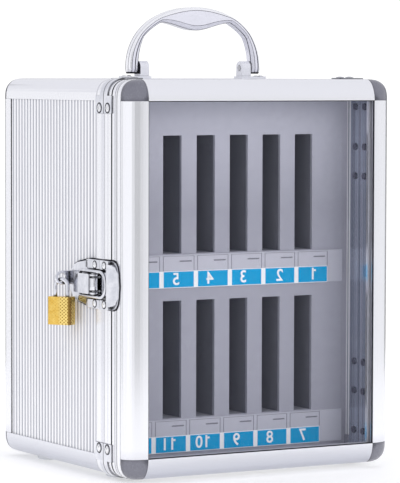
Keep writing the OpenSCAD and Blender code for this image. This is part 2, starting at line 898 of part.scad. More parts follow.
module handle_bracket_right() {
    x1 = handle_half + bracket_base_over;
    color("gainsboro") difference() {
        translate([0, back(handle_y), up(case_h)]) difference() {
            union() {
                translate([bracket_x - 1, -bracket_d / 2 - 1.5, -lip_t])
                    cube([x1 - bracket_x + 1, bracket_d + 3, bracket_base_t + lip_t]);
                translate([bracket_x, -bracket_d / 2, 0])
                    cube([bracket_w, bracket_d, bracket_h - bracket_d / 2]);
                translate([bracket_x, 0, bracket_h - bracket_d / 2]) rotate([0, 90, 0])
                    cylinder(r = bracket_d / 2, h = bracket_w);
            }
            translate([bracket_x - 1, 0, handle_pivot_z]) rotate([0, 90, 0])
                cylinder(r = handle_pin_r, h = bracket_w + 2);
        }
        at_bracket_rivets() rivet_bore();
    }
}

module handle_bracket_left() {
    mirror([1, 0, 0]) handle_bracket_right();
}

module handle_pins() {
    color("silver") for (s = [-1, 1]) {
        translate([s * (bracket_x - 0.4), back(handle_y), up(case_h + handle_pivot_z)])
            rotate([0, s * 90, 0]) cylinder(r = handle_pin_r, h = handle_half - bracket_x + 0.4 - 0.3);
    }
}

// Centre of slot number i across the case
function slot_x(i) = slot_first_x - i * slot_pitch;

module insert_face() {
    color("darkgray") difference() {
        translate([-insert_half, back(insert_y), up(insert_low)])
            cube([2 * insert_half, board_t, insert_high - insert_low]);
        for (i = [0:slots - 1], z = [lower_shelf_z, upper_shelf_z]) {
            translate([slot_x(i) - slot_w / 2, back(insert_y) - 1, up(z)])
                cube([slot_w, board_t + 2, slot_h]);
        }
    }
}

module shelf(z) {
    y0 = insert_y + board_t;
    color("darkgray") translate([-insert_half, back(y0), up(z - board_t)])
        cube([2 * insert_half, insert_back - y0, board_t]);
}

module lower_shelf() {
    shelf(lower_shelf_z);
}

module upper_shelf() {
    shelf(upper_shelf_z);
}

// Foam blocks that stand on a shelf between the slots
module spacers(z) {
    y0 = insert_y + board_t;
    edges = concat([insert_half], [for (i = [0:slots - 1], d = [1, -1]) slot_x(i) + d * slot_w / 2],
        [-insert_half]);
    color("gray") for (i = [0:slots]) {
        x0 = edges[2 * i + 1];
        x1 = edges[2 * i];
        translate([x0, back(y0), up(z)]) cube([x1 - x0, insert_back - y0, slot_h]);
    }
}

module lower_spacers() {
    spacers(lower_shelf_z);
}

module upper_spacers() {
    spacers(upper_shelf_z);
}

module label_strip(z) {
    color("white") translate([-insert_half + 1, back(insert_y - strip_t), up(z - strip_h - 0.8)])
        cube([2 * insert_half - 2, strip_t, strip_h]);
}

module lower_label_strip() {
    label_strip(lower_shelf_z);
}

module upper_label_strip() {
    label_strip(upper_shelf_z);
}

module label_row(z, first_x) {
    for (i = [0:slots - 1]) {
        translate([first_x - i * label_pitch - label_w / 2, back(insert_y - strip_t - label_t),
            up(z - strip_h - 0.6)]) cube([label_w, label_t, label_h]);
    }
}

module number_labels() {
    color("deepskyblue") {
        label_row(lower_shelf_z, lower_label_x);
        label_row(upper_shelf_z, upper_label_x);
    }
}

// Latch frame on the left side: x up, y to the rear from the front, z out of the side
module on_latch() {
    translate([-case_w / 2, back(0), up(latch_z)]) rotate([0, -90, 0]) children();
}

// Extrudes a side profile (y, out) of the latch across its height, centred
module across(w) {
    translate([-w / 2, 0, 0]) rotate([90, 0, 90]) linear_extrude(w) children();
}

// Outline from y0 to y1 of half height h, whose points are shares of h and of the way
module tapered(h, y0, y1, shares) {
    half = [for (s = shares) [h * s[0], y0 + (y1 - y0) * s[1]]];
    polygon(concat(half, [for (i = [len(half) - 1:-1:0]) [-half[i][0], half[i][1]]]));
}

// Outline of the latch plate on the body's side
module latch_outline() {
    tapered(latch_half, body_front, latch_end, [[1, 0], [1, 0.37], [0.965, 0.46], [0.89, 0.55],
        [0.84, 0.67], [0.8, 0.77], [0.69, 0.87], [0.51, 0.945], [0.3, 1]]);
}

// Raised shoulders of a latch plate with the side profile pts, cut to an outline
module shoulders(pts) {
    intersection() {
        for (s = [-1, 1]) {
            w = latch_half - channel_half;
            translate([s * (channel_half + w / 2), 0, 0]) across(w) polygon(pts);
        }
        linear_extrude(2 * shoulder_h) children();
    }
}

module latch_plate() {
    slope_y = body_front + shoulder_flat;
    color("silver") difference() {
        on_latch() difference() {
            union() {
                linear_extrude(latch_t) latch_outline();
                translate([0, 0, -lip_t]) linear_extrude(lip_t + latch_t) intersection() {
                    latch_outline();
                    translate([-far / 2, body_rim_end + 0.1]) square(far);
                }
                shoulders([[body_front, 0], [body_front, shoulder_h], [slope_y, shoulder_h],
                    [slope_y + shoulder_slope, latch_t], [slope_y + shoulder_slope, 0]])
                    latch_outline();
                for (s = [-1, 1]) {
                    translate([s * ear_x, 0, 0]) across(ear_t) {
                        translate([lever_y - ear_r, 0]) square([2 * ear_r, lever_out]);
                        translate([lever_y, lever_out]) circle(r = ear_r);
                    }
                }
                translate([hasp_rise - 5, hasp_y - hasp_t / 2, 0]) cube([10, hasp_t, hasp_out]);
                translate([hasp_rise, hasp_y, hasp_out]) rotate([90, 0, 0])
                    cylinder(r = 5, h = hasp_t, center = true);
            }
            translate([hasp_rise, hasp_y, hasp_out]) rotate([90, 0, 0])
                cylinder(r = hasp_hole_r, h = hasp_t + 2, center = true);
            translate([0, lever_y, lever_out]) rotate([0, 90, 0])
                cylinder(r = lever_pin_r, h = lever_w, center = true);
        }
        body_bores();
    }
}

module latch_lever() {
    top = lever_h;
    ramp_y = lever_end - lever_tip - lever_ramp;
    tip_y = lever_end - lever_tip;
    color("silver") on_latch() difference() {
        across(lever_w) {
            translate([lever_y, lever_out]) circle(r = lever_nose_r);
            polygon([[lever_y, lever_low], [lever_y, top], [ramp_y, top], [tip_y, 0.75 * top],
                [lever_end, 0.57 * top], [lever_end, lever_low]]);
        }
        across(lever_w - 2 * lever_t) {
            translate([lever_y, lever_out]) circle(r = ear_r + move_gap);
            polygon([[lever_y, -1], [lever_y, top - lever_t], [ramp_y - move_gap, top - lever_t],
                [tip_y - lever_t, 0.75 * top - lever_t], [lever_end - lever_t, 0.45 * top],
                [lever_end - lever_t, -1]]);
        }
        for (s = [-1, 1]) {
            translate([s * ear_x, 0, 0]) across(ear_t + 0.4)
                translate([lever_y - far, -1]) square([far + move_gap, top + 2]);
        }
        translate([0, lever_y, lever_out]) rotate([0, 90, 0])
            cylinder(r = lever_pin_r + fit_gap, h = lever_w + 2, center = true);
        translate([0, bail_y, lever_out]) rotate([0, 90, 0])
            cylinder(r = bail_r + fit_gap, h = lever_w + 2, center = true);
    }
}

module latch_pin() {
    color("gray") on_latch() translate([0, lever_y, lever_out]) rotate([0, 90, 0]) {
        cylinder(r = lever_pin_r, h = lever_w + 0.4, center = true);
        for (s = [-1, 1]) {
            translate([0, 0, s * (lever_w / 2 + 0.45)]) cylinder(r = 1.7, h = 0.5, center = true);
        }
    }
}

module latch_bail() {
    bend_y = bail_end + bail_half;
    color("silver") on_latch() translate([0, 0, lever_out]) {
        for (s = [-1, 1]) {
            translate([s * bail_half, bend_y, 0]) rotate([-90, 0, 0])
                cylinder(r = bail_r, h = bail_y - bend_y);
            translate([s * bail_half, bail_y, 0]) sphere(r = bail_r);
            translate([s * bail_half, bail_y, 0]) rotate([0, -s * 90, 0])
                cylinder(r = bail_r, h = bail_half - lever_w / 2 + lever_t);
        }
        translate([0, bend_y, 0]) rotate([0, 0, 180])
            rotate_extrude(angle = 180) translate([bail_half, 0]) circle(r = bail_r);
    }
}

// Outline of the catch plate on the door's side
module catch_outline() {
    tapered(latch_half, door_back, catch_end, [[1, 0], [1, 0.62], [0.94, 0.78], [0.77, 0.89],
        [0.48, 0.965], [0.02, 1]]);
}

module catch_plate() {
    stop_y = bail_end + bail_r + 0.4;
    sunk = 0.3 * latch_t;
    color("silver") difference() {
        on_latch() {
            linear_extrude(latch_t) catch_outline();
            shoulders([[door_back, 0], [door_back, shoulder_h], [ridge_y, shoulder_h],
                [ridge_y, 0]]) catch_outline();
            intersection() {
                across(2 * latch_half) polygon([[catch_end, sunk], [ridge_y - 1.6, ridge_h],
                    [ridge_y, ridge_h], [ridge_y + 0.2, latch_t - 0.2], [ridge_y - 4, sunk]]);
                linear_extrude(2 * ridge_h) tapered(0.86 * latch_half, ridge_y + 1, catch_end,
                    [[1, 0], [1, 0.34], [0.89, 0.69], [0.55, 0.91], [0.02, 1]]);
            }
            across(2 * bail_half - 8) polygon([[stop_y, sunk], [stop_y, lever_out - 1.9],
                [stop_y + 1.2, lever_out - 1.9], [stop_y + 3.6, sunk]]);
        }
        door_bores();
    }
}

// Places a shape at the middle of the padlock's bow, x along the bow, z up
module on_bow() {
    translate([-case_w / 2 - hasp_out, back(hasp_y), up(latch_z + hasp_rise - bow_drop)])
        rotate([0, 0, lock_yaw - 90]) children();
}

module padlock_shackle() {
    color("silver") on_bow() {
        translate([0, 0, -bow_r]) rotate([90, 0, 0]) rotate_extrude(angle = 180)
            translate([bow_r, 0]) circle(r = shackle_r);
        translate([bow_r, 0, -shackle_rise - heel_depth])
            cylinder(r = shackle_r, h = shackle_rise + heel_depth - bow_r);
        translate([-bow_r, 0, -shackle_rise - toe_depth])
            cylinder(r = shackle_r, h = shackle_rise + toe_depth - bow_r);
    }
}

module padlock_body() {
    r = 1.2;
    color("goldenrod") on_bow() difference() {
        translate([0, 0, -shackle_rise - lock_h]) union() {
            translate([-lock_w / 2 + r, -lock_t / 2, 0]) cube([lock_w - 2 * r, lock_t, lock_h]);
            translate([-lock_w / 2, -lock_t / 2 + r, 0]) cube([lock_w, lock_t - 2 * r, lock_h]);
            for (x = [-1, 1], y = [-1, 1]) {
                translate([x * (lock_w / 2 - r), y * (lock_t / 2 - r), 0]) cylinder(r = r, h = lock_h);
            }
        }
        translate([bow_r, 0, -shackle_rise - heel_depth - 0.5])
            cylinder(r = shackle_r + fit_gap, h = heel_depth + 1);
        translate([-bow_r, 0, -shackle_rise - toe_depth - 0.5])
            cylinder(r = shackle_r + fit_gap, h = toe_depth + 1);
        translate([0, 0, -shackle_rise - lock_h - 1]) cylinder(r = plug_r + fit_gap, h = plug_len + 1.05);
    }
}

module padlock_key_plug() {
    color("darkgoldenrod") on_bow() translate([0, 0, -shackle_rise - lock_h]) difference() {
        cylinder(r = plug_r, h = plug_len);
        translate([-0.5, -plug_r * 0.7, -1]) cube([1, plug_r * 1.4, plug_len - 1]);
    }
}

left_panel();
right_panel();
top_panel();
bottom_panel();
rear_panel();
rear_left_post();
rear_right_post();
rear_top_rail();
rear_bottom_rail();
top_left_rail();
top_right_rail();
bottom_left_rail();
bottom_right_rail();
rear_corner_caps();
body_rim_left();
body_rim_right();
body_rim_top();
body_rim_bottom();
body_corner_clips();
body_rivets();
feet();
foot_screws();
handle();
handle_bracket_left();
handle_bracket_right();
handle_pins();
insert_face();
lower_shelf();
upper_shelf();
lower_spacers();
upper_spacers();
lower_label_strip();
upper_label_strip();
number_labels();
latch_plate();
latch_lever();
latch_pin();
latch_bail();
padlock_body();
padlock_shackle();
padlock_key_plug();
door_left_post();
door_right_post();
door_top_rail();
door_bottom_rail();
door_corner_caps();
door_rim_left();
door_rim_right();
door_rim_top();
door_rim_bottom();
door_seal();
door_corner_clips();
door_rivets();
window_pane();
window_seal();
catch_plate();
body_hinge_leaves();
door_hinge_leaves();
hinge_pins();
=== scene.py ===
import json
import math
import bmesh
import bpy
from mathutils import Matrix, Vector
from mathutils.geometry import convex_hull_2d


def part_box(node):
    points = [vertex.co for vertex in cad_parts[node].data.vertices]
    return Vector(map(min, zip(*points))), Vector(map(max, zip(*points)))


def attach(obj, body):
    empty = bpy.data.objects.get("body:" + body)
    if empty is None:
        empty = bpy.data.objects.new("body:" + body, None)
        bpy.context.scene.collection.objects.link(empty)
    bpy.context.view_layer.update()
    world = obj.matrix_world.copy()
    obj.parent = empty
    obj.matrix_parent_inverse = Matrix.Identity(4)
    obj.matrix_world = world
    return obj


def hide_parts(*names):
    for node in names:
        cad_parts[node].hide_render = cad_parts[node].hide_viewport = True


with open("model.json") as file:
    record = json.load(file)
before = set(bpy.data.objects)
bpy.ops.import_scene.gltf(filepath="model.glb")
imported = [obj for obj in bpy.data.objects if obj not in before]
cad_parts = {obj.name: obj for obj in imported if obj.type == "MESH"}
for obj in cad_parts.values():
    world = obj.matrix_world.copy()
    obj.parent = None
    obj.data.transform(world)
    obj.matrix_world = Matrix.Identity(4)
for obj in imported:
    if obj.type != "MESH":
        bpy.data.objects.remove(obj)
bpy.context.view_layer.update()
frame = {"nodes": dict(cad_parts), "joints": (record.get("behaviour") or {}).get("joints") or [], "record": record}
NODES = frame["nodes"]
MM = 0.001

# Places on the case, read from the frame
FRONT_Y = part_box("door_left_post")[0].y
INSERT_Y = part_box("insert_face")[0].y
STRIP_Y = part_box("upper_label_strip")[0].y
TAG_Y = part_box("number_labels")[0].y
CASE_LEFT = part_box("door_left_post")[0].x
CASE_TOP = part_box("door_top_rail")[1].z
CASE_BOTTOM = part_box("door_bottom_rail")[0].z

# Thickness of the handle's legs
LEG_T = 8 * MM

# Pitch of the ribbed panels, and the plain width that their two edges keep together
RIB_PITCH = 4.66 * MM
RIB_MARGIN = 9.4 * MM

# How far each number sits off its tag's centre, in millimetres
NUMBER_ASIDE = (0, 0.3, 3.0, 2.7, 2.4, 2.4, 2, 2, 2, 2, 2, 2)

# Painted shade and reflection lines along the rim extrusion: millimetres behind the front, and brightness
PAINTED_RIM_LINES = ((11, 0.88), (12.2, 1), (16.2, 1), (16.9, 0.6), (17.6, 1), (19.6, 0.92), (21.2, 1), (28.2, 1),
             (29.2, 0.82), (30.2, 1), (33, 1), (34.4, 0.86), (38, 0.84), (40.5, 1), (45, 1), (46, 0.74),
             (47, 0.66))

# Light tent that polished parts mirror: degrees round the object, and brightness
LIGHT_TENT = ((-180, 1.15), (-130, 1.15), (-114, 0.57), (-98, 0.54), (-82, 0.82), (-66, 0.90), (-30, 1.0),
              (14, 1.0), (20, 0.06), (44, 0.06), (50, 0.85), (70, 0.85), (76, 0.04), (99, 0.03), (104, 1.1),
              (134, 1.1), (140, 0.5), (149, 0.5), (156, 1.15), (180, 1.15))

FLOOR_RADIUS = 0.75


# Shader helpers

def material(name, color, rough, metal=0.0, coat=0.0):
    """A material with a principled shader, and the shader itself."""
    m = bpy.data.materials.new(name)
    m.use_nodes = True
    shader = m.node_tree.nodes["Principled BSDF"]
    shader.inputs["Base Color"].default_value = (*color, 1)
    shader.inputs["Roughness"].default_value = rough
    shader.inputs["Metallic"].default_value = metal
    shader.inputs["Coat Weight"].default_value = coat
    m.diffuse_color = (*color, 1)
    return m, shader


def node(m, kind, **values):
    """A node of a material or world with some of its inputs or settings set."""
    n = m.node_tree.nodes.new(kind)
    for key, value in values.items():
        if hasattr(n, key):
            setattr(n, key, value)
        else:
            n.inputs[key.replace("_", " ")].default_value = value
    return n


def link(m, out, into):
    """Links two sockets of a material or world."""
    m.node_tree.links.new(out, into)


def coordinates(m, scale=(1, 1, 1)):
    """Object coordinates in metres, stretched by scale."""
    where = node(m, "ShaderNodeTexCoord")
    stretch = node(m, "ShaderNodeMapping")
    stretch.inputs["Scale"].default_value = scale
    link(m, where.outputs["Object"], stretch.inputs["Vector"])
    return stretch.outputs["Vector"]


def calculate(m, operation, first, second):
    """A value worked out from a socket and a number, or from two sockets."""
    n = node(m, "ShaderNodeMath", operation=operation)
    link(m, first, n.inputs[0])
    if isinstance(second, float):
        n.inputs[1].default_value = second
    else:
        link(m, second, n.inputs[1])
    return n.outputs[0]


def product(m, *sockets):
    """The product of several values."""
    out = sockets[0]
    for other in sockets[1:]:
        out = calculate(m, "MULTIPLY", out, other)
    return out


def place_axis(m, axis, mirrored=False):
    """One object coordinate in metres, or its distance from zero."""
    split = node(m, "ShaderNodeSeparateXYZ")
    link(m, coordinates(m), split.inputs["Vector"])
    if not mirrored:
        return split.outputs[axis]
    distance = node(m, "ShaderNodeMath", operation="ABSOLUTE")
    link(m, split.outputs[axis], distance.inputs[0])
    return distance.outputs[0]


def noise(m, scale, detail=4.0, stretch=(1, 1, 1)):
    """Noise of the given scale per metre."""
    n = node(m, "ShaderNodeTexNoise", Scale=scale, Detail=detail)
    link(m, coordinates(m, stretch), n.inputs["Vector"])
    return n.outputs["Fac"]


def ramp(m, source, low, high, start=0.3, end=0.7):
    """Colours from low to high over the source's values from start to end."""
    r = node(m, "ShaderNodeValToRGB")
    r.color_ramp.elements[0].position = start
    r.color_ramp.elements[0].color = (*low, 1)
    r.color_ramp.elements[1].position = end
    r.color_ramp.elements[1].color = (*high, 1)
    link(m, source, r.inputs["Fac"])
    return r.outputs["Color"]


def set_marks(marks, stops, color):
    """Sets a colour ramp's marks to pairs of place and brightness, spread over the whole ramp."""
    first, last = stops[0][0], stops[-1][0]
    for place, value in stops:
        if place == first:
            mark = marks[0]
        elif place == last:
            mark = marks[len(marks) - 1]
        else:
            mark = marks.new((place - first) / (last - first))
        mark.color = (*color(value), 1)


def span(m, source, low, high):
    """The source's values from 0 to 1 mapped onto low to high."""
    r = node(m, "ShaderNodeMapRange")
    r.inputs["To Min"].default_value = low
    r.inputs["To Max"].default_value = high
    link(m, source, r.inputs["Value"])
    return r.outputs["Result"]


def step(m, source, start, end):
    """0 to 1 as the source goes from start to end."""
    r = node(m, "ShaderNodeMapRange")
    r.inputs["From Min"].default_value = start
    r.inputs["From Max"].default_value = end
    link(m, source, r.inputs["Value"])
    return r.outputs["Result"]


def blend(m, share, low, high, kind="MIX"):
    """A mix of a colour or socket with another by a share."""
    mix = node(m, "ShaderNodeMix", data_type="RGBA", blend_type=kind)
    if isinstance(share, float):
        mix.inputs["Factor"].default_value = share
    else:
        link(m, share, mix.inputs["Factor"])
    for side, value in (("A", low), ("B", high)):
        if isinstance(value, tuple):
            mix.inputs[side].default_value = (*value, 1)
        else:
            link(m, value, mix.inputs[side])
    return mix.outputs["Result"]


def bump(m, shader, source, height, strength=0.5):
    """A bump of the given height in metres."""
    b = node(m, "ShaderNodeBump", Strength=strength, Distance=height)
    link(m, source, b.inputs["Height"])
    link(m, b.outputs["Normal"], shader.inputs["Normal"])


def darkened(m, tone, reach, dark, start, end, inside=False):
    """A colour with painted shade in gaps out to a reach in mm, or near outer edges where inside is set."""
    gap = node(m, "ShaderNodeAmbientOcclusion", samples=8, inside=inside)
    gap.inputs["Distance"].default_value = reach * MM
    shade = ramp(m, gap.outputs["AO"], dark, (1, 1, 1), start, end)
    return blend(m, 1.0, tone, shade, "MULTIPLY")


def inside_case(m, start, end):
    """0 up to a depth of start under the case's sides, top and bottom, and 1 beyond end, in mm."""
    height = place_axis(m, 2)
    return product(m, step(m, place_axis(m, 0, True), -CASE_LEFT - start * MM, -CASE_LEFT - end * MM),
                   step(m, height, CASE_TOP - start * MM, CASE_TOP - end * MM),
                   step(m, height, CASE_BOTTOM + start * MM, CASE_BOTTOM + end * MM))


# Materials

def tinted(name, color, rough, metal, spread, grain, height=0.00005, coat=0.0, shine=0.5):
    """A surface whose colour and roughness vary a little with a grain, and which has a fine bump."""
    m, s = material(name, color, rough, metal, coat)
    s.inputs["Specular IOR Level"].default_value = shine
    low = tuple(c * (1 - spread) for c in color)
    high = tuple(min(1, c * (1 + spread / 2)) for c in color)
    fine = noise(m, grain, 5.0)
    link(m, ramp(m, noise(m, grain / 9, 3.0), low, high), s.inputs["Base Color"])
    link(m, span(m, fine, rough * 0.75, min(1, rough * 1.3)), s.inputs["Roughness"])
    bump(m, s, fine, height)
    return m


def panel_material(name, like, axis):
    """White panel with painted shade in its groove bottoms, where a CAD panel has its grooves along one axis."""
    low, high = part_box(like)
    width = high[axis] - low[axis]
    first = low[axis] + width / 2 - math.floor((width - RIB_MARGIN) / RIB_PITCH) * RIB_PITCH / 2
    m, s = material(name, (0.86, 0.87, 0.89), 0.36, 0.0, 0.2)
    place = calculate(m, "SUBTRACT", place_axis(m, axis), first)
    wave = calculate(m, "PINGPONG", place, RIB_PITCH / 2)
    share = calculate(m, "DIVIDE", wave, RIB_PITCH / 2)
    # Painted shade: dark in each groove bottom, white on the ridges
    painted_rib_shade = ramp(m, share, (0.30, 0.31, 0.37), (0.98, 0.98, 0.985), 0.1, 0.56)
    wear_and_painted_shade = ramp(m, noise(m, 25), (0.96, 0.96, 0.97), (1, 1, 1))
    link(m, blend(m, 1.0, painted_rib_shade, wear_and_painted_shade, "MULTIPLY"), s.inputs["Base Color"])
    fine = noise(m, 900)
    link(m, span(m, fine, 0.3, 0.48), s.inputs["Roughness"])
    bump(m, s, fine, 0.00002, 0.3)
    return m


def rim_material(name, color, rough, metal):
    """Rim extrusion with painted shade and reflection lines along it, painted shade in gaps, and painted shade
    with streaks on its inner face.
    """
    m, s = material(name, color, rough, metal)
    # Painted shade and reflection lines along the extrusion
    lines = node(m, "ShaderNodeValToRGB")
    set_marks(lines.color_ramp.elements, PAINTED_RIM_LINES, lambda v: (v, v, min(1, v * 1.03)))
    behind = step(m, place_axis(m, 1), FRONT_Y + PAINTED_RIM_LINES[0][0] * MM, FRONT_Y + PAINTED_RIM_LINES[-1][0] * MM)
    link(m, behind, lines.inputs["Fac"])
    tone = blend(m, 1.0, lines.outputs["Color"], color, "MULTIPLY")
    # Painted shade on the inner face inside the case, streaked along the extrusion
    inner_shade_streaks = noise(m, 700, 4.0, (1, 1, 0.002))
    inner_shade_streaks = ramp(m, inner_shade_streaks, (0.30, 0.33, 0.40), (0.70, 0.74, 0.82), 0.38, 0.62)
    tone = blend(m, inside_case(m, 6.1, 6.3), tone, inner_shade_streaks)
    link(m, darkened(m, tone, 1.0, (0.10, 0.10, 0.13), 0.35, 0.8), s.inputs["Base Color"])
    link(m, span(m, noise(m, 3000), rough * 0.94, rough * 1.06), s.inputs["Roughness"])
    return m


def brushed_material(name, color, rough, metal, along):
    """Anodised aluminium drawn along one axis, with painted shade near the case's bottom edge and in gaps."""
    stretch = tuple(0.002 if axis == along else 1 for axis in "XYZ")
    m, s = material(name, color, rough, metal)
    lines = noise(m, 5000, 3.0, stretch)
    tone = ramp(m, lines, tuple(0.97 * c for c in color), color)
    # Painted shade towards the case's bottom edge
    painted_low_shade = step(m, place_axis(m, 2), CASE_BOTTOM + 22 * MM, CASE_BOTTOM + 2 * MM)
    tone = blend(m, painted_low_shade, tone, (0.62, 0.63, 0.68), "MULTIPLY")
    link(m, darkened(m, tone, 1.0, (0.10, 0.10, 0.13), 0.35, 0.8), s.inputs["Base Color"])
    link(m, span(m, lines, rough * 0.94, rough * 1.06), s.inputs["Roughness"])
    bump(m, s, lines, 0.000002, 0.3)
    return m


def bracket_material():
    """Moulded handle bracket with a painted shadow on its outer face beside the handle's leg, and painted shade in
    gaps.
    """
    m, s = material("bracket_silver", (0.80, 0.805, 0.85), 0.26, 0.3)
    fine = noise(m, 1500)
    tone = ramp(m, fine, (0.76, 0.765, 0.81), (0.84, 0.845, 0.89))
    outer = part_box("handle")[1].x - LEG_T - 0.75 * MM
    painted_leg_shadow = step(m, place_axis(m, 0, True), outer - 0.25 * MM, outer - 0.1 * MM)
    above = step(m, place_axis(m, 2), CASE_TOP + 3.2 * MM, CASE_TOP + 3.6 * MM)
    # Painted shadow on the outer face beside the leg
    tone = blend(m, product(m, painted_leg_shadow, above), tone, (0.03, 0.03, 0.04))
    link(m, darkened(m, tone, 1.5, (0.04, 0.04, 0.05), 0.3, 0.8), s.inputs["Base Color"])
    link(m, span(m, fine, 0.22, 0.3), s.inputs["Roughness"])
    return m


def window_material():
    """Clear acrylic with a faint cool tint."""
    m, s = material("window_acrylic", (0.30, 0.32, 0.40), 0.04)
    link(m, span(m, noise(m, 14, 2.0), 0.02, 0.07), s.inputs["Roughness"])
    s.inputs["Specular IOR Level"].default_value = 0.1
    s.inputs["Alpha"].default_value = 0.03
    return m


def brass_material():
    """Milled brass: a bright face, crossed tool marks towards the front edge, and painted shade on the front side.
    """
    m, s = material("lock_brass", (0.83, 0.60, 0.22), 0.3, 0.75)
    low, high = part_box("padlock_body")
    deep = high.y - low.y
    where = coordinates(m)
    marks = []
    for turn in (0.8, -0.8):
        turned = node(m, "ShaderNodeMapping")
        turned.inputs["Rotation"].default_value = (turn, 0, 0)
        link(m, where, turned.inputs["Vector"])
        waves = node(m, "ShaderNodeTexWave", bands_direction="Z", Scale=190.0, Distortion=0.0)
        link(m, turned.outputs["Vector"], waves.inputs["Vector"])
        marks.append(waves.outputs["Fac"])
    cross = product(m, *marks)
    place = place_axis(m, 1)
    face = ramp(m, noise(m, 300), (0.72, 0.44, 0.07), (0.86, 0.60, 0.15))
    hatch = ramp(m, cross, (0.95, 0.72, 0.24), (0.30, 0.17, 0.02), 0.15, 0.6)
    tone = blend(m, step(m, place, low.y + 0.40 * deep, low.y + 0.28 * deep), face, hatch)
    # Painted shade on the front side
    tone = blend(m, step(m, place, low.y + 0.07 * deep, low.y + 0.03 * deep), tone, (0.28, 0.16, 0.03))
    link(m, tone, s.inputs["Base Color"])
    link(m, span(m, cross, 0.24, 0.4), s.inputs["Roughness"])
    bump(m, s, cross, 0.00004, 0.3)
    return m


def cap_material():
    """Moulded grey plastic of the corner caps, with painted shade towards its edges."""
    m, s = material("corner_plastic", (0.18, 0.18, 0.215), 0.26, 0.0, 0.5)
    fine = noise(m, 1200, 5.0)
    tone = ramp(m, noise(m, 130, 3.0), (0.152, 0.152, 0.185), (0.178, 0.178, 0.212))
    # Painted shade towards the edges
    tone = darkened(m, tone, 4, (0.30, 0.30, 0.33), 0.25, 0.75, True)
    link(m, tone, s.inputs["Base Color"])
    link(m, span(m, fine, 0.2, 0.33), s.inputs["Roughness"])
    bump(m, s, fine, 0.000015)
    return m


def board_material():
    """Covered board of the insert, darker lower down by painted shade."""
    m, s = material("insert_board", (0.56, 0.56, 0.64), 0.8)
    s.inputs["Specular IOR Level"].default_value = 0.2
    fine = noise(m, 1600, 5.0)
    tone = ramp(m, noise(m, 180, 3.0), (0.53, 0.53, 0.61), (0.57, 0.57, 0.65))
    # Painted shade: darker below the top edge
    wear_and_painted_shade = step(m, place_axis(m, 2), CASE_TOP - 45 * MM, CASE_TOP - 95 * MM)
    tone = blend(m, wear_and_painted_shade, tone, (0.70, 0.70, 0.71), "MULTIPLY")
    link(m, tone, s.inputs["Base Color"])
    link(m, span(m, fine, 0.6, 0.95), s.inputs["Roughness"])
    bump(m, s, fine, 0.00008)
    return m


def chrome_material(name, reach, low, high, tails=False):
    """Bright plated steel with painted shade in gaps out to a reach in mm, along its outer edges, and at rivet
    tails inside the case.
    """
    m, s = material(name, high, 0.16, 1.0)
    wear_and_painted_shade = noise(m, 1800)
    tone = ramp(m, noise(m, 160), low, high)
    # Painted shade in gaps and along outer edges
    tone = darkened(m, tone, reach, (0.01, 0.01, 0.014), 0.4, 0.88)
    tone = darkened(m, tone, 0.9, (0.06, 0.06, 0.08), 0.1, 0.5, True)
    # Painted shade on rivet tails inside the case
    if tails:
        tone = blend(m, inside_case(m, 5, 6), tone, (0.15, 0.15, 0.19))
    link(m, tone, s.inputs["Base Color"])
    link(m, span(m, wear_and_painted_shade, 0.08, 0.22), s.inputs["Roughness"])
    bump(m, s, noise(m, 700), 0.00001, 0.3)
    return m


# Colour, roughness and metal share of the frame's aluminium
ALUMINIUM = ((0.93, 0.932, 0.955), 0.2, 0.85)

